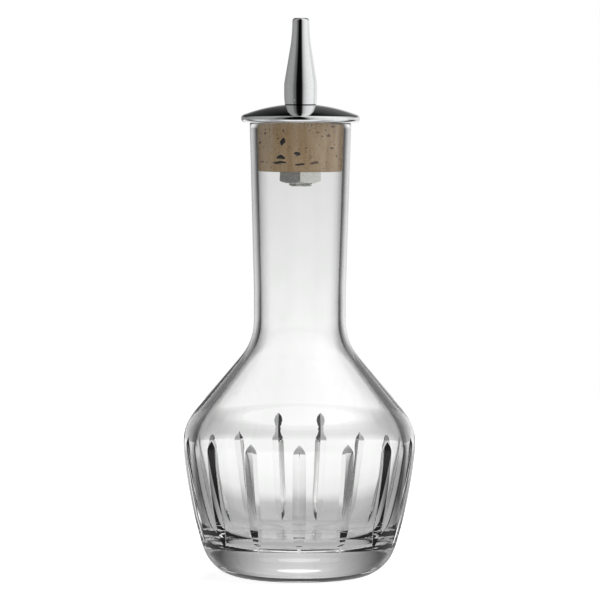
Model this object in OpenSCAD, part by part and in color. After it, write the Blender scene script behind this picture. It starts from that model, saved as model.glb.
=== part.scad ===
// Bitters bottle of cut crystal with a dasher stopper.
// Millimetres, +Z up, origin at the centre of the flat foot, front towards -Y.

/* [Bottle body] */
// Widest outside diameter, at the belly
body_d = 69; // [67:0.5:72]
// Height of the belly above the foot
belly_z = 40; // [38:0.5:43]
// Radius of the round between side and shoulder
belly_round = 13; // [11:0.5:15]
// Diameter of the flat foot
foot_d = 34; // [32:0.5:36]
// Radius of the round between foot and side
foot_round = 12; // [11:0.5:13]
// Radius of the bowed side
side_bow = 145; // [125:5:180]

/* [Neck] */
// Height of the rim above the foot
rim_z = 134.3; // [130:0.1:140]
// Outside diameter of the rim
rim_d = 29.9; // [29.6:0.1:31]
// Roundness of the fire-polished rim
rim_round = 0.6; // [0.3:0.1:0.8]
// Outside diameter of the waist, where the neck is narrowest
waist_d = 27.1; // [26.4:0.1:28]
// Height of the waist
waist_z = 84; // [81:0.5:90]
// Height where the neck starts to flare out to the shoulder
flare_z = 75.1; // [73:0.1:77.5]
// Radius of that flare
flare_round = 15; // [13:0.5:17]

/* [Glass thickness] */
// Thickness of the base
base_t = 10.5; // [8.5:0.5:12]
// Thickness of the side just above the base
heel_wall = 5.5; // [4.5:0.1:7]
// Radius between side and floor inside
floor_round = 9; // [7:0.5:10]
// Thickness at the belly
belly_wall = 4; // [3.4:0.1:5]
// Thickness at the waist and the flare
flare_wall = 2.1; // [1.8:0.1:2.8]

/* [Wheel-cut flutes] */
// Number of flutes
flute_count = 15; // [11:2:17]
// Width of a flute
flute_w = 4; // [3.2:0.1:4.8]
// Depth of a flute
flute_depth = 1.3; // [0.8:0.1:1.6]
// Height where a flute has its full depth again below its top
flute_top_z = 38.9; // [36:0.1:39.5]
// Height where a flute starts to run out at its foot
flute_foot_z = 18; // [15:0.5:22]
// Radius of the small wheel that ends the top
top_wheel_r = 6.2; // [4.5:0.1:10]
// Radius of the large wheel that runs out the foot
foot_wheel_r = 32; // [24:1:45]

/* [Cork] */
// Length of the cork
cork_len = 14.3; // [12:0.1:16]
// Diameter of the cork at its top
cork_top_d = 25.7; // [25.2:0.1:26.2]
// Diameter of the cork at its lower end
cork_low_d = 24.8; // [24.2:0.1:25]
// Chamfer of the cork's lower edge
cork_chamfer = 0.3; // [0.1:0.1:0.6]
// Radial room between the cork and its ground seat
cork_fit = 0.05; // [0.02:0.01:0.1]

/* [Cap] */
// Diameter of the cap
cap_d = 35; // [33:0.5:37]
// Radius of the cap's rounded edge
cap_edge = 1.15; // [0.9:0.05:1.4]
// Radius of the cap's dome
dome_r = 46; // [40:1:60]

/* [Spout] */
// Length of the spout
spout_len = 25.55; // [23:0.05:29]
// Largest diameter of the spout
spout_d = 9.76; // [9.6:0.02:10.6]
// Height of that place above the spout's foot
spout_swell_z = 5.2; // [4:0.1:6]
// Radius of the swell above it
swell_round = 14.5; // [12:0.5:18]
// Diameter of the slender tip
tip_d = 5; // [4.6:0.1:5.4]
// Radius of the sweep up to the tip
tip_sweep = 50; // [44:1:56]
// Roundness of the tip's edge
tip_round = 0.9; // [0.5:0.1:1.1]
// Diameter of the hole that drips
drip_d = 2; // [1.2:0.1:2.4]
// Chamfer of the spout's foot
spout_chamfer = 0.2; // [0.1:0.05:0.4]

/* [Threaded tube and nut] */
// Outside diameter of the threaded tube
tube_d = 7.3; // [6.8:0.1:7.5]
// Bore of the threaded tube
tube_bore_d = 3.8; // [3:0.1:4]
// How far the tube is screwed into the spout
tube_grip = 7; // [5:0.5:8]
// How far the tube stands below the nut
tube_stub = 0.95; // [0.5:0.05:2]
// Height of the hexagon nut
nut_h = 3.5; // [2.8:0.1:4.5]
// Width of the nut across its flats
nut_af = 11.8; // [11:0.1:13]
// Radial room round the tube in its holes
tube_fit = 0.05; // [0.02:0.01:0.1]

/* [Hidden] */
$fn = 180;

arc_step = 5; // degrees a step along the rounds
past = 1; // how far a cut runs past the surface it opens
groove_reach = 2.6; // how far a flute's V is carried outwards
wheel_sweep = 75; // degrees of a wheel's edge that can touch the glass
nut_bevel = 30; // degrees of the nut's chamfer
groove_slope = flute_w / 2 / flute_depth;

// Points along an arc from angle a to angle b, the last one left out when it is open
function arc(c, r, a, b, open = true) =
  let (n = max(2, ceil(abs(b - a) / arc_step)))
  [for (i = [0 : open ? n - 1 : n]) c + r * [cos(a + (b - a) * i / n), sin(a + (b - a) * i / n)]];

// Centre of the arc of radius r that wraps two circles and touches both from outside
function wrap_centre(c1, r1, c2, r2, r) =
  let (
    d = norm(c2 - c1),
    u = (c2 - c1) / d,
    along = (d * d + (r - r1) ^ 2 - (r - r2) ^ 2) / (2 * d),
    away = sqrt((r - r1) ^ 2 - along ^ 2)
  )
  c1 + along * u + away * [-u.y, u.x];

function bearing(from, to) = atan2(to.y - from.y, to.x - from.x);

// Direction of the line that crosses between two circles, as the angle of its normal
function cross_normal(c1, r1, c2, r2) = bearing(c1, c2) - acos((r1 + r2) / norm(c2 - c1));

// Outline from heel to neck: heel round, bowed side, belly round, straight shoulder, flare
function vessel_side(heel, heel_r, belly, belly_r, flare, flare_r, bow_r) =
  let (
    bow = wrap_centre(heel, heel_r, belly, belly_r, bow_r),
    low = bearing(bow, heel),
    high = bearing(bow, belly),
    shoulder = cross_normal(belly, belly_r, flare, flare_r)
  )
  concat(
    arc(heel, heel_r, -90, low),
    arc(bow, bow_r, low, high),
    arc(belly, belly_r, high, shoulder, false),
    arc(flare, flare_r, 180 + shoulder, 180, false)
  );

// Places of the outer rounds
heel_c = [foot_d / 2, foot_round];
belly_c = [body_d / 2 - belly_round, belly_z];
flare_c = [waist_d / 2 + flare_round, flare_z];
bow_c = wrap_centre(heel_c, foot_round, belly_c, belly_round, side_bow);

// Places of the inner rounds
floor_z = base_t + floor_round;
floor_c = [bow_c.x + sqrt(side_bow ^ 2 - (bow_c.y - floor_z) ^ 2) - heel_wall - floor_round, floor_z];
cavity_waist_r = waist_d / 2 - flare_wall;

// Cork, its seat in the glass, and the pieces below and above it
cork_top_r = cork_top_d / 2;
cork_low_r = cork_low_d / 2;
cork_low_z = rim_z - cork_len;
cork_taper = (cork_top_r - cork_low_r) / cork_len;
seat_low_r = cork_low_r + cork_fit - cork_taper * cork_fit;
seat_top_r = cork_top_r + cork_fit;
tube_hole_r = tube_d / 2 + tube_fit;
nut_low_z = cork_low_z - nut_h;
tube_low_z = nut_low_z - tube_stub;

// Cap: the dome touches the rounded edge and ends at a flat land under the spout
spout_foot_r = spout_d / 2 - spout_chamfer / 2;
edge_c = [cap_d / 2 - cap_edge, cap_edge];
dome_z = edge_c.y - sqrt((dome_r - cap_edge) ^ 2 - edge_c.x ^ 2);
land_r = spout_d / 2;
land_z = dome_z + sqrt(dome_r ^ 2 - land_r ^ 2);
spout_z = rim_z + land_z;
tube_top_z = spout_z + tube_grip;

// Flutes: the wheels' edges follow the bowed side at the flutes' depth
groove_r = side_bow - flute_depth;
groove_top = asin((flute_top_z - bow_c.y) / groove_r);
groove_foot = asin((flute_foot_z - bow_c.y) / groove_r);
front = -90;

module turned(points) {
  rotate_extrude() polygon(points);
}

module bottle_blank() {
  turned(concat(
    [[0, 0]],
    vessel_side(heel_c, foot_round, belly_c, belly_round, flare_c, flare_round, side_bow),
    [[waist_d / 2, waist_z]],
    arc([rim_d / 2 - rim_round, rim_z - rim_round], rim_round, 0, 90, false),
    [[0, rim_z]]
  ));
}

module cavity() {
  turned(concat(
    [[0, base_t]],
    vessel_side(floor_c, floor_round, belly_c, belly_round - belly_wall,
      flare_c, flare_round + flare_wall, side_bow),
    [
      [cavity_waist_r, waist_z],
      [seat_low_r, cork_low_z - cork_fit],
      [seat_top_r, rim_z],
      [seat_top_r + past * cork_taper, rim_z + past],
      [0, rim_z + past]
    ]
  ));
}

// V of a wheel's edge: its point at radius r, its mouth open outwards or inwards
module edge_section(r, open) {
  polygon([
    [r, 0],
    [r + open * groove_reach, -groove_reach * groove_slope],
    [r + open * groove_reach, groove_reach * groove_slope]
  ]);
}

// Stretch of a wheel's edge that leaves the groove at angle a, upwards or downwards
module run_out(a, wheel_r, upwards) {
  centre = bow_c + (groove_r + wheel_r) * [cos(a), sin(a)];
  translate([centre.x, centre.y, 0])
    rotate([0, 0, 180 + a - (upwards ? wheel_sweep : 0)])
      rotate_extrude(angle = wheel_sweep) edge_section(wheel_r, -1);
}

module flute() {
  rotate([90, 0, 0]) {
    translate([bow_c.x, bow_c.y, 0])
      rotate([0, 0, groove_foot])
        rotate_extrude(angle = groove_top - groove_foot) edge_section(groove_r, 1);
    run_out(groove_top, top_wheel_r, true);
    run_out(groove_foot, foot_wheel_r, false);
  }
}

module glass_bottle() {
  color("lightcyan", 0.5)
    difference() {
      bottle_blank();
      cavity();
      for (i = [0 : flute_count - 1]) rotate([0, 0, front + i * 360 / flute_count]) flute();
    }
}

module cork_collar() {
  color("tan")
    turned([
      [tube_hole_r, cork_low_z],
      [cork_low_r - cork_chamfer, cork_low_z],
      [cork_low_r + cork_chamfer * cork_taper, cork_low_z + cork_chamfer],
      [cork_top_r, rim_z],
      [tube_hole_r, rim_z]
    ]);
}

module dome_cap() {
  color("silver")
    translate([0, 0, rim_z])
      turned(concat(
        [[tube_hole_r, 0]],
        arc(edge_c, cap_edge, -90, bearing([0, dome_z], edge_c)),
        arc([0, dome_z], dome_r, bearing([0, dome_z], edge_c), bearing([0, dome_z], [land_r, land_z]), false),
        [[tube_hole_r, land_z]]
      ));
}

module pour_spout() {
  swell_c = [spout_d / 2 - swell_round, spout_swell_z];
  sweep_c = [tip_d / 2 + tip_sweep, spout_len - tip_round];
  slope = cross_normal(swell_c, swell_round, sweep_c, tip_sweep);
  color("silver")
    translate([0, 0, spout_z])
      difference() {
        turned(concat(
          [[0, 0], [spout_foot_r, 0], [spout_d / 2, spout_swell_z / 2]],
          arc(swell_c, swell_round, 0, slope, false),
          arc(sweep_c, tip_sweep, 180 + slope, 180),
          arc([tip_d / 2 - tip_round, spout_len - tip_round], tip_round, 0, 90, false),
          [[0, spout_len]]
        ));
        translate([0, 0, -past]) cylinder(r = tube_hole_r, h = tube_grip + past);
        turned([
          [0, tube_grip - past],
          [tube_bore_d / 2, tube_grip - past],
          [tube_bore_d / 2, tube_grip],
          [drip_d / 2, spout_len - tip_round],
          [drip_d / 2, spout_len + past],
          [0, spout_len + past]
        ]);
      }
}

module threaded_tube() {
  color("gray")
    difference() {
      translate([0, 0, tube_low_z]) cylinder(d = tube_d, h = tube_top_z - tube_low_z);
      translate([0, 0, tube_low_z - past]) cylinder(d = tube_bore_d, h = tube_top_z - tube_low_z + 2 * past);
    }
}

// Hexagon with a corner to the front, its lower corners turned off
module hex_nut() {
  corner_r = nut_af / 2 / cos(30);
  bevel_h = (corner_r - nut_af / 2) * tan(nut_bevel);
  color("silver")
    translate([0, 0, nut_low_z])
      difference() {
        intersection() {
          rotate([0, 0, 30]) cylinder(r = corner_r, h = nut_h, $fn = 6);
          turned([[0, 0], [nut_af / 2, 0], [corner_r, bevel_h], [corner_r, nut_h], [0, nut_h]]);
        }
        translate([0, 0, -past]) cylinder(r = tube_hole_r, h = nut_h + 2 * past);
      }
}

glass_bottle();
cork_collar();
dome_cap();
pour_spout();
threaded_tube();
hex_nut();
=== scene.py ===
"""Looks of a cut-crystal bitters bottle with a dasher stopper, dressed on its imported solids."""

import math

import bpy
import numpy as np
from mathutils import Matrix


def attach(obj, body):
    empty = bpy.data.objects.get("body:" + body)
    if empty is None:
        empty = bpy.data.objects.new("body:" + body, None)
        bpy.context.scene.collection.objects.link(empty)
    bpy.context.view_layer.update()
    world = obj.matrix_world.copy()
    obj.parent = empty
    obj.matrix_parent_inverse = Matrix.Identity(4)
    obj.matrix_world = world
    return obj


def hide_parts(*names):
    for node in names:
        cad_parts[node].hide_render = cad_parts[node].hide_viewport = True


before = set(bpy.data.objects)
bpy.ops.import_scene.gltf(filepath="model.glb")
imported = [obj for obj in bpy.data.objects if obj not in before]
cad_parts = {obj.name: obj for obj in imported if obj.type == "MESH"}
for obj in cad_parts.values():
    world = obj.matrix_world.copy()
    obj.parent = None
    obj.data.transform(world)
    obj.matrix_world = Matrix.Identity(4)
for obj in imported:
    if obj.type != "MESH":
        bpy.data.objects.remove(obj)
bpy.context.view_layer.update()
scene = bpy.context.scene
scene.view_settings.view_transform = "Standard"


# Camera
# A long lens 1.23 m in front of the bottle and a little below the spout's tip,
# so the verticals stay upright and the shoulder is seen from just above.
CAMERA_REACH, CAMERA_HEIGHT, CAMERA_ASIDE = 1.231, 0.1576, -0.00023
LOOK_DOWN, ROLL = math.radians(3.522), math.radians(-0.2)
IMAGE_SIDE = 600
FOCAL_PIXELS = 4174.5  # the focal length, in pixels of the image
SENSOR_MM = 36.0

camera = bpy.data.objects.new("camera", bpy.data.cameras.new("camera"))
camera.data.sensor_width = SENSOR_MM
camera.data.lens = SENSOR_MM * FOCAL_PIXELS / IMAGE_SIDE
camera.data.clip_start = 0.05
camera.location = (CAMERA_ASIDE, -CAMERA_REACH, CAMERA_HEIGHT)
camera.rotation_euler = (math.pi / 2 - LOOK_DOWN, ROLL, 0)
scene.collection.objects.link(camera)
scene.camera = camera


# Studio
# A table top under a lit paper sweep: the glow stands low behind the bottle and dies away to the
# sides, where black cards give the crystal its dark edges. Soft lights hang on the right and above.
# The camera itself sees plain white, and the table keeps the bottle's shadow.
MM = 0.001  # in metres


def linear(code):
    """Linear colour of an sRGB hex code: the standard curve, taken channel by channel."""
    part = np.array([int(code[i:i + 2], 16) / 255 for i in (1, 3, 5)])
    part = np.where(part <= 0.04045, part / 12.92, ((part + 0.055) / 1.055) ** 2.4)
    return (*part.tolist(), 1.0)


def add(tree, kind, settings=None, **links):
    """Adds a node; settings are its own values, links are its inputs, each a value or a socket. An
    input is called by its name, with underscores for spaces, or by its number after one."""
    made = tree.nodes.new("ShaderNode" + kind)
    for name, value in (settings or {}).items():
        setattr(made, name, value)
    for name, value in links.items():
        key = int(name[1:]) if name[1:].isdigit() else name.replace("_", " ")
        if isinstance(value, bpy.types.NodeSocket):
            tree.links.new(value, made.inputs[key])
        else:
            made.inputs[key].default_value = value
    return made


def ramp(tree, factor, stops):
    """Colour ramp through stops of (place, grey or colour) and the socket that it gives."""
    made = add(tree, "ValToRGB", None, Fac=factor)
    band = made.color_ramp
    band.elements.remove(band.elements[1])
    for index, (place, tone) in enumerate(stops):
        stop = band.elements.new(place) if index else band.elements[0]
        stop.position = place
        stop.color = tone if isinstance(tone, tuple) else (tone, tone, tone, 1)
    return made.outputs["Color"]


def material(name):
    """An empty node material and its tree."""
    made = bpy.data.materials.new(name)
    made.use_nodes = True
    made.node_tree.nodes.clear()
    return made, made.node_tree


def fineness(size):
    """Scale of a pattern whose marks measure size in millimetres: how many there are to the metre."""
    return 1 / (size * MM)


def turn(degrees):
    """Place on a ramp that runs once round the horizon: 0.5 is straight behind the bottle."""
    return 0.5 + degrees / 360


# Light that crystal sees round the horizon, in degrees from straight behind, right is plus
GLASS_ROUND = [
    (-180, 0.6), (-158, 0.5), (-146, 0.3), (-136, 0.1), (-124, 0.15), (-112, 0.3), (-96, 0.45),
    (-74, 0.55), (-65, 0.28), (-58, 0.02), (-46, 0.01), (-39, 0.16), (-33, 0.3), (-26, 0.5),
    (-19, 0.68), (-12, 0.88), (0, 1.0), (12, 0.88), (19, 0.68), (26, 0.48), (33, 0.26), (39, 0.14),
    (44, 0.0), (64, 0.0), (76, 0.85), (104, 1.0), (124, 1.0), (136, 0.6), (146, 0.5),
    (158, 0.5), (180, 0.6),
]
# Light that polished metal sees round the horizon, reckoned the same way
METAL_ROUND = [
    (-180, 0.003), (-155, 0.003), (-148, 0.04), (-143, 0.14), (-134, 0.14), (-126, 0.25), (-118, 0.34),
    (-90, 0.36), (-60, 0.33), (-20, 0.28), (-6, 0.3), (4, 0.75), (48, 0.95), (56, 0.8), (70, 0.75),
    (79, 1.0), (108, 0.95),
    (124, 0.9), (140, 0.76), (151, 0.6), (159, 0.46), (166, 0.16), (171, 0.01), (180, 0.003),
]
# How much of the sky's fall to dark metal sees at each bearing: only behind the bottle
METAL_BEHIND = [(-180, 0.0), (-62, 0.0), (-34, 1.0), (34, 1.0), (62, 0.0), (180, 0.0)]
# Light up the sky, in degrees above the horizon, from straight down (-90) to straight up (90)
GLASS_UP = [
    (-90, 1.05), (-6, 1.04), (-3.5, 0.96), (-2, 0.82), (0, 0.66), (6, 0.6), (14, 0.8),
    (28, 1.2), (42, 1.7), (60, 2.0), (90, 2.0),
]
METAL_UP = [
    (-90, 0.4), (-12, 0.8), (-3, 1.0), (5, 1.0), (10, 0.6), (15, 0.2), (30, 0.08), (40, 0.006),
    (52, 0.006), (62, 0.6), (75, 1.0), (90, 1.0),
]


# Light on the paper by its bearing from the bottle: wider than the glow behind, dark where cards stand
PAPER_ROUND = [
    (-180, 0.95), (-150, 0.9), (-132, 0.5), (-118, 0.4), (-100, 0.7), (-76, 0.62), (-60, 0.1), (-50, 0.16),
    (-40, 0.5), (-30, 0.84), (-20, 1.0), (20, 1.0), (30, 0.84), (38, 0.5), (46, 0.12), (60, 0.04), (76, 0.62),
    (100, 0.85), (118, 0.6), (132, 0.5), (150, 0.9), (180, 0.95),
]
PAPER_STRENGTH = 1.05


def studio_light(tree, vector, round_stops, up_stops, share_stops):
    """Brightness in a direction: the ramp round the horizon times the ramp from nadir to zenith, as
    far as the third ramp lets that one count at the same bearing."""
    axes = add(tree, "SeparateXYZ", None, Vector=vector)
    bearing = add(tree, "Math", {"operation": "ARCTAN2"}, _0=axes.outputs["X"], _1=axes.outputs["Y"])
    across = add(tree, "MapRange", None, Value=bearing.outputs[0], From_Min=-math.pi, From_Max=math.pi)
    height = add(tree, "Math", {"operation": "ARCSINE"}, _0=axes.outputs["Z"])
    up = add(tree, "MapRange", None, Value=height.outputs[0], From_Min=-math.pi / 2, From_Max=math.pi / 2)
    level = ramp(tree, across.outputs[0], [(turn(a), tone) for a, tone in round_stops])
    # A ramp keeps at most 1, so the sky's ramp is stored at half its strength
    sky = ramp(tree, up.outputs[0], [(0.5 + a / 180, tone / 2) for a, tone in up_stops])
    share = ramp(tree, across.outputs[0], [(turn(a), tone) for a, tone in share_stops])
    counted = add(tree, "Mix", {"data_type": "RGBA"}, _0=share, _6=(0.5, 0.5, 0.5, 1), _7=sky)
    both = add(tree, "Mix", {"data_type": "RGBA", "blend_type": "MULTIPLY"}, _0=1.0, _6=level,
               _7=counted.outputs[2])
    return add(tree, "VectorMath", {"operation": "SCALE"}, _0=both.outputs[2], Scale=2.0).outputs[0]


world = bpy.data.worlds.new("studio")
scene.world = world
world.use_nodes = True
sky_tree = world.node_tree
sky_tree.nodes.clear()
heading = add(sky_tree, "TexCoord").outputs["Generated"]
EVERYWHERE = [(-180, 1.0), (180, 1.0)]
PAPER_UP = [(-90, PAPER_STRENGTH), (90, PAPER_STRENGTH)]
backdrop_light = studio_light(sky_tree, heading, GLASS_ROUND, GLASS_UP, EVERYWHERE)
far_paper = studio_light(sky_tree, heading, PAPER_ROUND, PAPER_UP, EVERYWHERE)
# The paper sweeps up into the backdrop between these angles, which lie below the horizon
SWEEP_LOW, SWEEP_HIGH = math.radians(-7), math.radians(-3)
rise = add(sky_tree, "SeparateXYZ", None, Vector=heading).outputs["Z"]
swept = add(sky_tree, "MapRange", None, Value=rise, From_Min=math.sin(SWEEP_LOW),
            From_Max=math.sin(SWEEP_HIGH))
through_glass = add(sky_tree, "Mix", {"data_type": "RGBA"}, _0=swept.outputs[0], _6=far_paper,
                    _7=backdrop_light).outputs[2]
off_metal = studio_light(sky_tree, heading, METAL_ROUND, METAL_UP, METAL_BEHIND)
rays = add(sky_tree, "LightPath")
# Light that has come through crystal counts as transmitted, and all other reflected light doesn't
seen = add(sky_tree, "Mix", {"data_type": "RGBA"}, _0=rays.outputs["Is Transmission Ray"], _6=off_metal,
           _7=through_glass)
white = add(sky_tree, "Mix", {"data_type": "RGBA"}, _0=rays.outputs["Is Camera Ray"], _6=seen.outputs[2],
            _7=(1, 1, 1, 1))
background = add(sky_tree, "Background", None, Color=white.outputs[2], Strength=1.0)
add(sky_tree, "OutputWorld", None, Surface=background.outputs[0])

TABLE_HALF = 0.62
TABLE_Z = -0.2 * MM
table_mesh = bpy.data.meshes.new("table_top")
corners = [(x * TABLE_HALF, y * TABLE_HALF, TABLE_Z) for x, y in ((-1, -1), (1, -1), (1, 1), (-1, 1))]
table_mesh.from_pydata(corners, [], [(0, 1, 2, 3)])
table_top = bpy.data.objects.new("table_top", table_mesh)
scene.collection.objects.link(table_top)

# White cartridge paper: matt and even, with a grain that only just shows. Its light grows with the
# distance from the bottle, given as a share of the reach, and is dark where the cards stand.
PAPER_REACH = 0.5
PAPER_OUT = [(0.0, 0.43), (0.16, 0.46), (0.235, 0.53), (0.295, 0.9), (0.38, 1.0), (1.0, 1.0)]
# Inside this ring round the bottle the paper is lit evenly, and outside it by its bearing
RING_NEAR, RING_FAR = 0.03, 0.09
# An even glow lifts the paper that the camera sees to plain white, all but the bottle's shadow
PAPER_LIFT = 0.74
paper, paper_tree = material("white_paper")
place = add(paper_tree, "TexCoord").outputs["Object"]
reach = add(paper_tree, "VectorMath", {"operation": "LENGTH"}, _0=place)
spread = add(paper_tree, "MapRange", None, Value=reach.outputs["Value"], From_Min=0.0,
             From_Max=PAPER_REACH)
outward = ramp(paper_tree, spread.outputs[0], PAPER_OUT)
around = studio_light(paper_tree, place, PAPER_ROUND, [(-90, 1.0), (90, 1.0)], EVERYWHERE)
fade = add(paper_tree, "MapRange", None, Value=reach.outputs["Value"], From_Min=RING_NEAR,
           From_Max=RING_FAR)
even = add(paper_tree, "Mix", {"data_type": "RGBA"}, _0=fade.outputs[0], _6=(1, 1, 1, 1), _7=around)
paper_glow = add(paper_tree, "Mix", {"data_type": "RGBA", "blend_type": "MULTIPLY"}, _0=1.0,
                 _6=outward, _7=even.outputs[2])
grain = add(paper_tree, "TexNoise", None, Vector=place, Scale=fineness(1.11), Detail=2.0)
paper_white = add(paper_tree, "Mix", {"data_type": "RGBA"}, _0=grain.outputs["Fac"],
                  _6=linear("#F4F4F3"), _7=linear("#EDEDEC"))
paper_rays = add(paper_tree, "LightPath")
lit = add(paper_tree, "BsdfDiffuse", None, Color=paper_white.outputs[2])
lift = add(paper_tree, "Emission", None, Color=(1, 1, 1, 1), Strength=PAPER_LIFT)
shown = add(paper_tree, "AddShader", None, _0=lit.outputs[0], _1=lift.outputs[0])
glow = add(paper_tree, "Emission", None, Color=paper_glow.outputs[2], Strength=PAPER_STRENGTH)
paper_mix = add(paper_tree, "MixShader", None, _0=paper_rays.outputs["Is Camera Ray"], _1=glow.outputs[0],
                _2=shown.outputs[0])
add(paper_tree, "OutputMaterial", None, Surface=paper_mix.outputs[0])
table_mesh.materials.append(paper)


def soft_light(name, size, watts, location, aim):
    """A square area light of that size that faces the point aim."""
    lamp = bpy.data.lights.new(name, "AREA")
    lamp.size = size
    lamp.energy = watts
    made = bpy.data.objects.new(name, lamp)
    made.location = location
    look = np.array(aim) - np.array(location)
    made.rotation_euler = (math.acos(-look[2] / np.linalg.norm(look)), 0,
                           math.atan2(look[1], look[0]) - math.pi / 2)
    made.visible_glossy = False
    made.visible_transmission = False
    scene.collection.objects.link(made)


soft_light("light_right", 0.5, 4.5, (0.75, -0.6, 0.55), (0, 0, 0.1))
soft_light("light_above", 0.8, 6.0, (0.1, 0.1, 1.1), (0, 0, 0.0))


# Crystal bottle
# Blown lead-free crystal with a thick foot. Fifteen V flutes are cut into its side with a wheel
# that dips in on a short curve at the top and runs out on a long one at the foot, then polished.
FOOT_R, FOOT_ROUND, SIDE_BOW = 17.0, 12.0, 145.0
BODY_R, BELLY_Z, BELLY_ROUND = 34.5, 40.0, 13.0
WAIST_R, WAIST_Z, FLARE_Z, FLARE_ROUND = 13.55, 84.0, 75.1, 15.0
RIM_R, RIM_Z, RIM_ROUND = 14.95, 134.3, 0.6
BASE_T, HEEL_WALL, FLOOR_ROUND, BELLY_WALL, NECK_WALL = 10.5, 5.5, 9.0, 4.0, 2.1
CORK_TOP_R, CORK_LOW_R, CORK_LEN, CORK_FIT = 12.85, 12.4, 14.3, 0.05
CORK_LOW_Z = RIM_Z - CORK_LEN
FLUTES, FLUTE_HALF, FLUTE_DEPTH = 15, 2.0, 1.3
FLUTE_TOP_Z, FLUTE_FOOT_Z, TOP_WHEEL_R, FOOT_WHEEL_R = 38.9, 18.0, 6.2, 32.0
FLUTE_LEAST = 0.35  # half width in degrees that a flute's columns keep where there is no flute
FLUTE_COLUMNS, LAND_COLUMNS = 4, 10
FOOT_MARGIN = 0.5  # how far in from the underside's edge a flute may still reach
OUTSIDE_STEPS, INSIDE_STEPS, BASE_STEPS = (30, 66, 44, 24), (20, 26, 18, 20), 5
FINE_BELOW, FINE, COARSE = 46.0, 0.5, 1.4  # up to which height the rows are fine, and both spacings


def bend(centre, radius, start, stop, steps, last=False):
    """Points along an arc: centre plus radius times (cosine, sine) of even angles in degrees."""
    angle = np.radians(np.linspace(start, stop, steps + 1))
    points = np.column_stack([centre[0] + radius * np.cos(angle), centre[1] + radius * np.sin(angle)])
    return points if last else points[:-1]


def wrapped(c1, r1, c2, r2, radius):
    """Centre of the arc that wraps two circles and touches both: where two circles of radius minus
    r1 and radius minus r2 about their centres cross."""
    c1, c2 = np.array(c1), np.array(c2)
    gap = np.linalg.norm(c2 - c1)
    unit = (c2 - c1) / gap
    along = (gap ** 2 + (radius - r1) ** 2 - (radius - r2) ** 2) / (2 * gap)
    away = math.sqrt((radius - r1) ** 2 - along ** 2)
    return c1 + along * unit + away * np.array([-unit[1], unit[0]])


def aim_angle(start, stop):
    """Bearing in degrees from one point to another."""
    return math.degrees(math.atan2(stop[1] - start[1], stop[0] - start[0]))


def cross_angle(c1, r1, c2, r2):
    """Angle of the normal of the line that crosses between two circles: the bearing less the arc
    cosine of the radii's sum over the distance."""
    return aim_angle(c1, c2) - math.degrees(math.acos((r1 + r2) / np.linalg.norm(np.subtract(c2, c1))))


def vessel(heel, heel_r, belly, belly_r, flare, flare_r, steps):
    """Side of the vessel: heel round, bowed side, belly round, straight shoulder and flare."""
    bow = wrapped(heel, heel_r, belly, belly_r, SIDE_BOW)
    low, high = aim_angle(bow, heel), aim_angle(bow, belly)
    slope = cross_angle(belly, belly_r, flare, flare_r)
    return np.vstack([
        bend(heel, heel_r, -90, low, steps[0]), bend(bow, SIDE_BOW, low, high, steps[1]),
        bend(belly, belly_r, high, slope, steps[2], True),
        bend(flare, flare_r, 180 + slope, 180, steps[3], True)]), bow


def eased(points, fine_below, fine, coarse, soften=1.5):
    """The line taken again at even steps, fine low down and coarse above, with its turns eased as in
    blown glass: a running mean of each coordinate along the line, weighted as a bell curve."""
    lengths = np.concatenate([[0], np.cumsum(np.linalg.norm(np.diff(points, axis=0), axis=1))])
    dense = 0.1
    places = np.arange(0, lengths[-1], dense)
    line = np.column_stack([np.interp(places, lengths, points[:, k]) for k in (0, 1)])
    reach = int(3 * soften / dense)
    bell = np.exp(-0.5 * (np.arange(-reach, reach + 1) * dense / soften) ** 2)
    padded = np.vstack([2 * line[0] - line[reach:0:-1], line, 2 * line[-1] - line[-2:-reach - 2:-1]])
    line = np.column_stack([np.convolve(padded[:, k], bell / bell.sum(), "valid") for k in (0, 1)])
    step = np.where(line[:, 1] < fine_below, dense / fine, dense / coarse)
    whole = np.floor(np.cumsum(step))
    return line[np.concatenate([[True], np.diff(whole) > 0])]


def straight(start, stop, steps):
    """Even points from start to stop, without start."""
    share = np.linspace(0, 1, steps + 1)[1:, None]
    return np.array(start) * (1 - share) + np.array(stop) * share


heel = (FOOT_R, FOOT_ROUND)
belly = (BODY_R - BELLY_ROUND, BELLY_Z)
flare = (WAIST_R + FLARE_ROUND, FLARE_Z)
outside, bow = vessel(heel, FOOT_ROUND, belly, BELLY_ROUND, flare, FLARE_ROUND, OUTSIDE_STEPS)
lip = bend((RIM_R - RIM_ROUND, RIM_Z - RIM_ROUND), RIM_ROUND, 0, 90, 6, True)
outside = np.vstack([straight((0, 0), (FOOT_R, 0), BASE_STEPS)[:-1],
                     eased(np.vstack([outside, [(WAIST_R, WAIST_Z)], lip[:1]]), FINE_BELOW, FINE, COARSE),
                     lip])
floor_z = BASE_T + FLOOR_ROUND
floor_round = (bow[0] + math.sqrt(SIDE_BOW ** 2 - (bow[1] - floor_z) ** 2) - HEEL_WALL - FLOOR_ROUND, floor_z)
inside, _ = vessel(floor_round, FLOOR_ROUND, belly, BELLY_ROUND - BELLY_WALL, flare, FLARE_ROUND + NECK_WALL,
                   INSIDE_STEPS)
seat_low = (CORK_LOW_R + CORK_FIT, CORK_LOW_Z - CORK_FIT)
inside = np.vstack([inside, [(WAIST_R - NECK_WALL, WAIST_Z), seat_low]])
inside = np.vstack([straight((0, BASE_T), inside[0], BASE_STEPS)[:-1],
                    eased(inside, FINE_BELOW, COARSE, COARSE), [seat_low],
                    straight(seat_low, (CORK_TOP_R + CORK_FIT, RIM_Z), 3)])[::-1]
profile = np.vstack([outside, inside])


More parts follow.
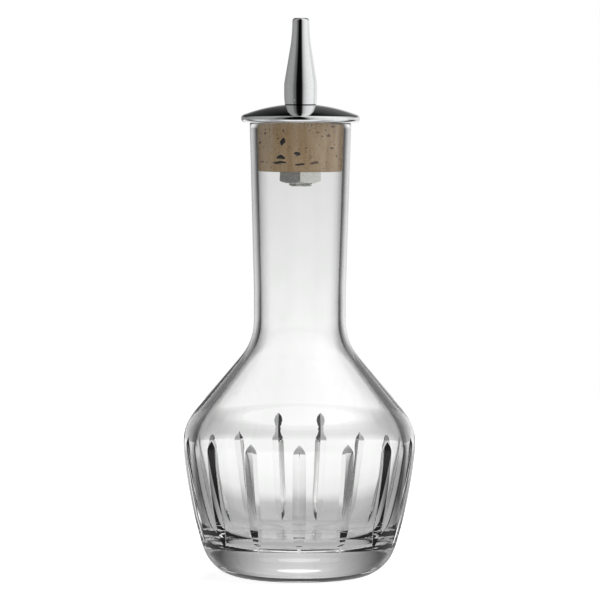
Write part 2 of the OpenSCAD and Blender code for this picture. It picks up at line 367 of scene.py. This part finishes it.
def flute_floor(z):
    """Radius of the flutes' bottom line at each height: the bowed side moved in by the depth, and
    past its ends the edges of the two wheels, which touch that line and lead out of the glass."""
    cut_r = SIDE_BOW - FLUTE_DEPTH
    line = bow[0] + np.sqrt(np.maximum(cut_r ** 2 - (z - bow[1]) ** 2, 0))
    for joint_z, wheel_r, side in ((FLUTE_TOP_Z, TOP_WHEEL_R, 1), (FLUTE_FOOT_Z, FOOT_WHEEL_R, -1)):
        angle = math.asin((joint_z - bow[1]) / cut_r)
        centre = bow + (cut_r + wheel_r) * np.array([math.cos(angle), math.sin(angle)])
        below = wheel_r ** 2 - (z - centre[1]) ** 2
        edge = np.where(below > 0, centre[0] - np.sqrt(np.maximum(below, 0)), np.inf)
        line = np.where(side * (z - joint_z) > 0, edge, line)
    return line


# A flute's facet is flat across: its radius is the bottom line's over (cosine less steepness
# times sine) of the angle from the flute's middle, so the half width follows from the depth.
radius, height = profile[:, 0], profile[:, 1]
steep = FLUTE_DEPTH / FLUTE_HALF
bottom = flute_floor(height)
bottom[len(outside):] = np.inf
bottom[radius < FOOT_R - FOOT_MARGIN] = np.inf
share = np.where(bottom < radius, bottom / (np.maximum(radius, 1e-6) * math.hypot(1, steep)), 1)
half = np.where(bottom < radius, np.degrees(np.arccos(np.minimum(share, 1)) - math.atan(steep)), 0)
half = np.maximum(half, FLUTE_LEAST)[:, None]
pitch = 360 / FLUTES
groove = np.linspace(-1, 1, 2 * FLUTE_COLUMNS + 1)[None, :-1] * half
land = half + (pitch - 2 * half) * np.arange(LAND_COLUMNS)[None] / LAND_COLUMNS
one = np.hstack([groove, land])
off = np.radians(np.hstack([np.abs(groove), np.minimum(land, pitch - land)]))
OUT_OF_REACH = 1e3
cut = np.minimum(bottom, OUT_OF_REACH)[:, None] / (np.cos(off) - steep * np.sin(off))
across = np.where((bottom < radius)[:, None] & (off <= np.radians(half) + 1e-9),
                  np.minimum(cut, radius[:, None]), radius[:, None])
angle = np.radians((one[:, None] + np.arange(FLUTES)[None, :, None] * pitch).reshape(len(profile), -1) - 90)
across = np.tile(across, FLUTES)
crystal_points = np.stack([across * np.cos(angle), across * np.sin(angle),
                           np.repeat(height[:, None], angle.shape[1], 1)], -1)


def skin(name, points, start=None, stop=None, sharp=30.0):
    """Closed tube from a grid of points in millimetres, rows along it and columns round it. Each
    end is closed by a point, or else the last row joins the first. Edges over sharp degrees show."""
    rows, columns = points.shape[:2]
    index = np.arange(rows * columns).reshape(rows, columns)
    beside = np.roll(index, -1, 1)
    upper, upper_beside = np.roll(index, -1, 0), np.roll(beside, -1, 0)
    faces = np.stack([index, beside, upper_beside, upper], -1)
    flat = points.reshape(-1, 3)
    if start is None:
        quads = faces.reshape(-1, 4).tolist()
    else:
        ends = len(flat)
        flat = np.vstack([flat, start, stop])
        quads = faces[:-1].reshape(-1, 4).tolist()
        quads += np.stack([np.full(columns, ends), beside[0], index[0]], -1).tolist()
        quads += np.stack([index[-1], beside[-1], np.full(columns, ends + 1)], -1).tolist()
    mesh = bpy.data.meshes.new(name)
    mesh.from_pydata((flat * MM).tolist(), [], quads)
    mesh.update()
    mesh.shade_smooth()
    mesh.set_sharp_from_angle(angle=math.radians(sharp))
    made = bpy.data.objects.new(name, mesh)
    scene.collection.objects.link(made)
    return made


crystal_bottle = skin("crystal_bottle", crystal_points, (0, 0, 0), (0, 0, BASE_T), sharp=16.0)

# Lead-free crystal, fire-polished and buffed: clear, with a trace of waviness left by the hand
# that blew it, and the faintest haze where fingers have held it.
crystal, crystal_tree = material("polished_crystal")
spot = add(crystal_tree, "TexCoord").outputs["Object"]
waves = add(crystal_tree, "TexNoise", None, Vector=spot, Scale=fineness(18.2), Detail=1.0,
            Roughness=0.4)
wavy = add(crystal_tree, "Bump", None, Strength=0.05, Distance=0.4 * MM, Height=waves.outputs["Fac"])
touch = add(crystal_tree, "TexNoise", None, Vector=spot, Scale=fineness(7.14), Detail=3.0)
haze = add(crystal_tree, "MapRange", None, Value=touch.outputs["Fac"], From_Min=0.45, From_Max=0.8,
           To_Min=0.0, To_Max=0.012)
tint = ramp(crystal_tree, touch.outputs["Fac"], [(0.3, linear("#FDFEFD")), (0.7, linear("#FFFFFF"))])
clear = add(crystal_tree, "BsdfPrincipled", None, Base_Color=tint, Roughness=haze.outputs[0], IOR=1.52,
            Transmission_Weight=1.0, Normal=wavy.outputs[0])
add(crystal_tree, "OutputMaterial", None, Surface=clear.outputs[0])
crystal_bottle.data.materials.append(crystal)
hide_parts("glass_bottle")
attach(crystal_bottle, "bottle")


# Cork
# Natural cork, turned to a slight taper, bored for the tube and pressed into the neck. Its
# lenticels lie level, as dark cracks and brown dots, because the plug is cut along the bark.
CORK_CHAMFER, TUBE_HOLE_R = 0.3, 3.7
CORK_ROWS, CORK_COLUMNS = 112, 640
FACE_R = 8.0  # radius of a ring of points on the cork's flat ends
PIT_DEPTH, SKIN_WAVE = 0.32, 0.02
# Lenticels seen from the front: bearing from the front in degrees, height, half length, half width
NAMED_PITS = np.array([
    (-23.0, 128.9, 0.8, 0.95), (-4.0, 125.4, 0.95, 0.45), (-26.0, 124.3, 1.4, 0.58),
    (-28.0, 122.8, 2.2, 0.32), (-0.5, 122.3, 1.5, 0.3), (18.0, 122.7, 1.4, 0.38),
    (-61.0, 128.5, 0.9, 0.4), (-50.0, 131.2, 0.5, 0.35), (-57.0, 122.9, 0.9, 0.25),
    (38.0, 130.6, 0.6, 0.4), (43.0, 127.0, 0.6, 0.3), (52.0, 124.6, 0.4, 0.3),
    (44.0, 133.3, 0.7, 0.25), (59.0, 123.6, 0.4, 0.25), (64.0, 126.8, 0.35, 0.25),
])
rng = np.random.default_rng(7)
BACK_PITS = 46
back_pits = np.column_stack([rng.uniform(75, 285, BACK_PITS),
                             rng.uniform(CORK_LOW_Z + 0.8, RIM_Z - 0.7, BACK_PITS),
                             rng.uniform(0.3, 1.6, BACK_PITS), rng.uniform(0.15, 0.42, BACK_PITS)])
DOTS = 170
dots = np.column_stack([rng.uniform(0, 360, DOTS), rng.uniform(CORK_LOW_Z + 0.6, RIM_Z - 0.3, DOTS),
                        rng.uniform(0.1, 0.3, DOTS), rng.uniform(0.08, 0.22, DOTS)])
pits = np.vstack([NAMED_PITS, back_pits, dots])

side_z = np.linspace(CORK_LOW_Z + CORK_CHAMFER, RIM_Z, CORK_ROWS)
side_r = CORK_LOW_R + (side_z - CORK_LOW_Z) * (CORK_TOP_R - CORK_LOW_R) / CORK_LEN
cork_profile = np.vstack([
    [(TUBE_HOLE_R, RIM_Z), (TUBE_HOLE_R, CORK_LOW_Z), (FACE_R, CORK_LOW_Z)],
    [(CORK_LOW_R - CORK_CHAMFER, CORK_LOW_Z)], np.column_stack([side_r, side_z]), [(FACE_R, RIM_Z)]])
side_rows = slice(4, 4 + CORK_ROWS)  # the side's rows, after the four points of bore and lower end
cork_turn = np.linspace(0, 2 * math.pi, CORK_COLUMNS, endpoint=False)


def pit_depth(turn_at, z, marks):
    """Depth 0 to 1 of the deepest mark at each point: one less the squared distance from its middle,
    in its own half length and half width, bent a little by a slow wave."""
    away = (turn_at[..., None] - np.radians(marks[:, 0] - 90) + math.pi) % (2 * math.pi) - math.pi
    along = away * CORK_LOW_R / marks[:, 2]
    wave = 0.35 * np.sin(3.1 * along + marks[:, 1])
    up = (z[..., None] - marks[:, 1]) / marks[:, 3] + wave
    return np.maximum(1 - along ** 2 - up ** 2, 0).max(-1)


grid_turn, grid_z = np.meshgrid(cork_turn, side_z)
depth = pit_depth(grid_turn, grid_z, pits)
skin_wave = 0.5 + 0.25 * (np.sin(17 * grid_turn + 2 * grid_z) * np.sin(1.7 * grid_z)
                          + np.sin(41 * grid_turn - 1.3 * grid_z))
cork_r = np.repeat(cork_profile[:, :1], CORK_COLUMNS, 1)
cork_r[side_rows] -= PIT_DEPTH * np.sqrt(depth) + SKIN_WAVE * skin_wave
cork_z = np.repeat(cork_profile[:, 1:], CORK_COLUMNS, 1)
cork_points = np.stack([cork_r * np.cos(cork_turn), cork_r * np.sin(cork_turn), cork_z], -1)
cork_plug = skin("cork_plug", cork_points, sharp=60.0)
shade = np.zeros(cork_r.shape)
shade[side_rows] = depth
# Which marks are black: the first five named ones and every other one at the back. The rest are brown
dark = np.zeros(cork_r.shape)
dark[side_rows] = pit_depth(grid_turn, grid_z, np.vstack([NAMED_PITS[:5], back_pits[::2]]))
for label, values in (("pit", shade), ("crack", dark)):
    layer = cork_plug.data.attributes.new(label, "FLOAT", "POINT")
    layer.data.foreach_set("value", np.sqrt(values).ravel().astype(np.float32))

# Natural cork: a tan ground with soft upright bands where the bark's years were cut across,
# brown dust in its pores and near-black cracks; dead matt, with a fine grain of cells, which is
# drawn some ten times coarser than real ones so that it shows.
bark, bark_tree = material("natural_cork")
cork_spot = add(bark_tree, "TexCoord").outputs["Object"]
bands = add(bark_tree, "Mapping", None, Vector=cork_spot,
            Scale=(fineness(2.38), fineness(2.38), fineness(16.7)))
years = add(bark_tree, "TexNoise", None, Vector=bands.outputs[0], Scale=1.0, Detail=4.0, Roughness=0.6)
ground = ramp(bark_tree, years.outputs["Fac"], [
    (0.25, linear("#BC986C")), (0.45, linear("#D2AF83")), (0.6, linear("#DBBF96")), (0.8, linear("#E8D5B6"))])
dust = add(bark_tree, "TexNoise", None, Vector=cork_spot, Scale=fineness(0.417), Detail=3.0)
dusty = add(bark_tree, "MapRange", None, Value=dust.outputs["Fac"], From_Min=0.56, From_Max=0.7,
            To_Min=0.0, To_Max=0.5)
speckled = add(bark_tree, "Mix", {"data_type": "RGBA"}, _0=dusty.outputs[0], _6=ground, _7=linear("#8C6A49"))
pit_value = add(bark_tree, "Attribute", {"attribute_name": "pit"}).outputs["Fac"]
crack_value = add(bark_tree, "Attribute", {"attribute_name": "crack"}).outputs["Fac"]
brown_share = add(bark_tree, "MapRange", None, Value=pit_value, From_Min=0.05, From_Max=0.5, To_Max=0.9)
browned = add(bark_tree, "Mix", {"data_type": "RGBA"}, _0=brown_share.outputs[0], _6=speckled.outputs[2],
              _7=linear("#5E3F24"))
black_share = add(bark_tree, "MapRange", None, Value=crack_value, From_Min=0.1, From_Max=0.4)
cracked = add(bark_tree, "Mix", {"data_type": "RGBA"}, _0=black_share.outputs[0], _6=browned.outputs[2],
              _7=linear("#120C08"))
cells = add(bark_tree, "TexVoronoi", None, Vector=cork_spot, Scale=fineness(0.3125))
grainy = add(bark_tree, "Bump", None, Strength=0.35, Distance=0.08 * MM, Height=cells.outputs["Distance"])
matt = add(bark_tree, "BsdfPrincipled", None, Base_Color=cracked.outputs[2], Roughness=0.85,
           Specular_IOR_Level=0.25, Normal=grainy.outputs[0])
add(bark_tree, "OutputMaterial", None, Surface=matt.outputs[0])
cork_plug.data.materials.append(bark)
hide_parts("cork_collar")
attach(cork_plug, "stopper")


# Domed cap
# A low dome with a rolled edge, turned from brass and chrome-plated, that sits on the rim and
# carries the spout on a flat land at its middle.
CAP_R, CAP_EDGE, DOME_R = 17.5, 1.15, 46.0
LAND_R = 4.88
edge_middle = (CAP_R - CAP_EDGE, CAP_EDGE)
dome_z = edge_middle[1] - math.sqrt((DOME_R - CAP_EDGE) ** 2 - edge_middle[0] ** 2)
land_z = dome_z + math.sqrt(DOME_R ** 2 - LAND_R ** 2)
edge_top = aim_angle((0, dome_z), edge_middle)


def turned(name, points, columns, sharp=30.0):
    """Surface of revolution of a closed outline, radius and height in millimetres: each point goes
    round the axis as (radius times cosine, radius times sine, height)."""
    around = np.linspace(0, 2 * math.pi, columns, endpoint=False)
    r, z = np.array(points)[:, :1], np.array(points)[:, 1:]
    grid = np.stack([r * np.cos(around), r * np.sin(around), np.repeat(z, columns, 1)], -1)
    return skin(name, grid, sharp=sharp)


cap_outline = np.vstack([
    [(TUBE_HOLE_R, 0)], bend(edge_middle, CAP_EDGE, -90, edge_top, 22),
    bend((0, dome_z), DOME_R, edge_top, aim_angle((0, dome_z), (LAND_R, land_z)), 26, True),
    [(TUBE_HOLE_R, land_z)]])
cap_outline[:, 1] += RIM_Z
domed_cap = turned("domed_cap", cap_outline, 192)

# Chrome plate on turned brass: a bright mirror, a shade cooler than steel, with the faint
# ripple of the polishing mop and hair-fine wipe marks that only soften the highlights.
chrome, chrome_tree = material("polished_chrome")
chrome_spot = add(chrome_tree, "TexCoord").outputs["Object"]
ripple = add(chrome_tree, "TexNoise", None, Vector=chrome_spot, Scale=fineness(5.56), Detail=1.0)
rippled = add(chrome_tree, "Bump", None, Strength=0.08, Distance=0.2 * MM, Height=ripple.outputs["Fac"])
wipes = add(chrome_tree, "TexNoise", None, Vector=chrome_spot, Scale=fineness(1.11), Detail=4.0,
            Roughness=0.7)
worn = add(chrome_tree, "MapRange", None, Value=wipes.outputs["Fac"], From_Min=0.3, From_Max=0.75,
           To_Min=0.015, To_Max=0.07)
plate = ramp(chrome_tree, wipes.outputs["Fac"], [(0.3, linear("#E9EAEB")), (0.7, linear("#F2F3F3"))])
# A painted shadow: the plate's colour is darkened in the fine groove where the spout meets the cap, at this
# height
JOINT_SHADE_Z = RIM_Z + land_z + 0.1
joint_z = add(chrome_tree, "SeparateXYZ", None, Vector=chrome_spot).outputs["Z"]
from_joint = add(chrome_tree, "Math", {"operation": "SUBTRACT"}, _0=joint_z, _1=JOINT_SHADE_Z * MM)
joint_off = add(chrome_tree, "Math", {"operation": "ABSOLUTE"}, _0=from_joint.outputs[0])
painted_joint_shade = add(chrome_tree, "MapRange", None, Value=joint_off.outputs[0], From_Min=0.12 * MM, From_Max=0.2 * MM,
             To_Min=0.9, To_Max=0.0)
plate_with_painted_shade = add(chrome_tree, "Mix", {"data_type": "RGBA"}, _0=painted_joint_shade.outputs[0], _6=plate, _7=linear("#1C1B1A"))
mirror = add(chrome_tree, "BsdfPrincipled", None, Base_Color=plate_with_painted_shade.outputs[2], Metallic=1.0,
             Roughness=worn.outputs[0], Normal=rippled.outputs[0])
add(chrome_tree, "OutputMaterial", None, Surface=mirror.outputs[0])
domed_cap.data.materials.append(chrome)
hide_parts("dome_cap")
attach(domed_cap, "stopper")


# Drip spout
# A slender hollow spout, turned and chromed like the cap: a short barrel at its foot, a long
# fine taper, and a rounded tip with the drip hole. It screws onto the tube, down to the cap.
SPOUT_LEN, SPOUT_R, SWELL_Z, SWELL_ROUND = 25.55, 4.86, 5.7, 6.0
TIP_R, TIP_SWEEP, TIP_ROUND, DRIP_R, FOOT_GROOVE = 2.5, 50.0, 0.9, 1.0, 0.22
FOOT_TAPER, DRIP_BEVEL = 0.12, 0.1
TUBE_GRIP, TUBE_BORE_R = 7.0, 1.9
swell = (SPOUT_R - SWELL_ROUND, SWELL_Z)
sweep = (TIP_R + TIP_SWEEP, SPOUT_LEN - TIP_ROUND)
slant = cross_angle(swell, SWELL_ROUND, sweep, TIP_SWEEP)
spout_outline = np.vstack([
    [(TUBE_HOLE_R, 0), (SPOUT_R - FOOT_GROOVE, 0), (SPOUT_R - FOOT_GROOVE, FOOT_GROOVE)],
    straight((SPOUT_R - FOOT_TAPER, FOOT_GROOVE), (SPOUT_R, SWELL_Z / 2), 2),
    bend(swell, SWELL_ROUND, 0, slant, 14, True), bend(sweep, TIP_SWEEP, 180 + slant, 180, 24),
    bend((TIP_R - TIP_ROUND, SPOUT_LEN - TIP_ROUND), TIP_ROUND, 0, 90, 12, True),
    [(DRIP_R + DRIP_BEVEL, SPOUT_LEN), (DRIP_R, SPOUT_LEN - DRIP_BEVEL), (DRIP_R, SPOUT_LEN - TIP_ROUND),
     (TUBE_BORE_R, TUBE_GRIP), (TUBE_HOLE_R, TUBE_GRIP)]])
spout_outline[:, 1] += RIM_Z + land_z
drip_spout = turned("drip_spout", spout_outline, 160)
drip_spout.data.materials.append(chrome)
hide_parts("pour_spout")
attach(drip_spout, "stopper")


# Threaded tube
# A length of nickel-plated steel tube, threaded all along its outside, that runs through the
# cork and the cap into the spout and draws them together with the nut.
TUBE_R, TUBE_STUB, NUT_H = 3.65, 0.95, 3.5
THREAD_PITCH, THREAD_DEPTH, CREST_EASE = 0.75, 0.42, 1.2
TUBE_LOW_Z = CORK_LOW_Z - NUT_H - TUBE_STUB
TUBE_TOP_Z = RIM_Z + land_z + TUBE_GRIP
TUBE_ROWS, TUBE_COLUMNS = 360, 64
tube_turn = np.linspace(0, 2 * math.pi, TUBE_COLUMNS, endpoint=False)
tube_z = np.linspace(TUBE_LOW_Z, TUBE_TOP_Z, TUBE_ROWS)[:, None]


def thread_radius(z, turn_at):
    """Radius of a V thread: the crest's less the depth times twice how far the height, taken in
    pitches and less the part of a turn, is from a whole number, to a power that eases the crest.
    The ends are bevelled at 45 degrees."""
    phase = (z / THREAD_PITCH - turn_at / (2 * math.pi)) % 1
    thread = TUBE_R - THREAD_DEPTH * (1 - np.abs(2 * phase - 1)) ** CREST_EASE
    bevel = TUBE_R - THREAD_DEPTH + np.minimum(z - TUBE_LOW_Z, TUBE_TOP_Z - z)
    return np.minimum(thread, bevel)


tube_r = np.vstack([thread_radius(tube_z, tube_turn[None]), np.full((2, TUBE_COLUMNS), TUBE_BORE_R)])
tube_h = np.vstack([np.repeat(tube_z, TUBE_COLUMNS, 1), np.full((1, TUBE_COLUMNS), TUBE_TOP_Z),
                    np.full((1, TUBE_COLUMNS), TUBE_LOW_Z)])
tube_points = np.stack([tube_r * np.cos(tube_turn), tube_r * np.sin(tube_turn), tube_h], -1)
threaded_stem = skin("threaded_stem", tube_points, sharp=40.0)

# Nickel-plated steel: softer and a little yellower than chrome, satin from barrel polishing.
nickel, nickel_tree = material("satin_nickel")
nickel_spot = add(nickel_tree, "TexCoord").outputs["Object"]
tumble = add(nickel_tree, "TexNoise", None, Vector=nickel_spot, Scale=fineness(0.625), Detail=4.0)
satin = add(nickel_tree, "MapRange", None, Value=tumble.outputs["Fac"], From_Min=0.3, From_Max=0.7,
            To_Min=0.1, To_Max=0.2)
nickel_tone = ramp(nickel_tree, tumble.outputs["Fac"], [(0.3, linear("#D3D1CC")), (0.7, linear("#E2E1DD"))])
scuffed = add(nickel_tree, "Bump", None, Strength=0.1, Distance=0.03 * MM, Height=tumble.outputs["Fac"])
nickelled = add(nickel_tree, "BsdfPrincipled", None, Base_Color=nickel_tone, Metallic=1.0,
                Roughness=satin.outputs[0], Normal=scuffed.outputs[0])
add(nickel_tree, "OutputMaterial", None, Surface=nickelled.outputs[0])
threaded_stem.data.materials.append(nickel)
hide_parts("threaded_tube")
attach(threaded_stem, "stopper")


# Hexagon nut
# A pressed steel nut, nickel-plated, its lower corners turned off at 30 degrees, tightened
# against the cork's lower face.
NUT_FLAT, NUT_BEVEL = 5.9, math.radians(30)
NUT_ROUND, NUT_LEAD = 0.12, 0.35  # how far the bevel cuts inside the flats, and the lead-in's width
NUT_COLUMNS = 96
nut_turn = np.linspace(0, 2 * math.pi, NUT_COLUMNS, endpoint=False)
# Distance to a hexagon's side: the half width over the cosine of the angle from the side's middle
side_angle = (nut_turn + math.pi / 6) % (math.pi / 3) - math.pi / 6
hexagon = NUT_FLAT / np.cos(side_angle)
rounded = np.full(NUT_COLUMNS, NUT_FLAT - NUT_ROUND)
nut_low = CORK_LOW_Z - NUT_H
bevel_z = nut_low + (hexagon - rounded) * math.tan(NUT_BEVEL)
ring = np.ones(NUT_COLUMNS)
nut_r = np.stack([TUBE_R * ring, (TUBE_R + NUT_LEAD) * ring, rounded, hexagon, hexagon, TUBE_R * ring])
nut_z = np.stack([(nut_low + NUT_LEAD) * ring, nut_low * ring, nut_low * ring, bevel_z, CORK_LOW_Z * ring,
                  CORK_LOW_Z * ring])
nut_points = np.stack([nut_r * np.cos(nut_turn), nut_r * np.sin(nut_turn), nut_z], -1)
pressed_nut = skin("pressed_nut", nut_points, sharp=18.0)
pressed_nut.data.materials.append(nickel)
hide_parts("hex_nut")
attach(pressed_nut, "stopper")
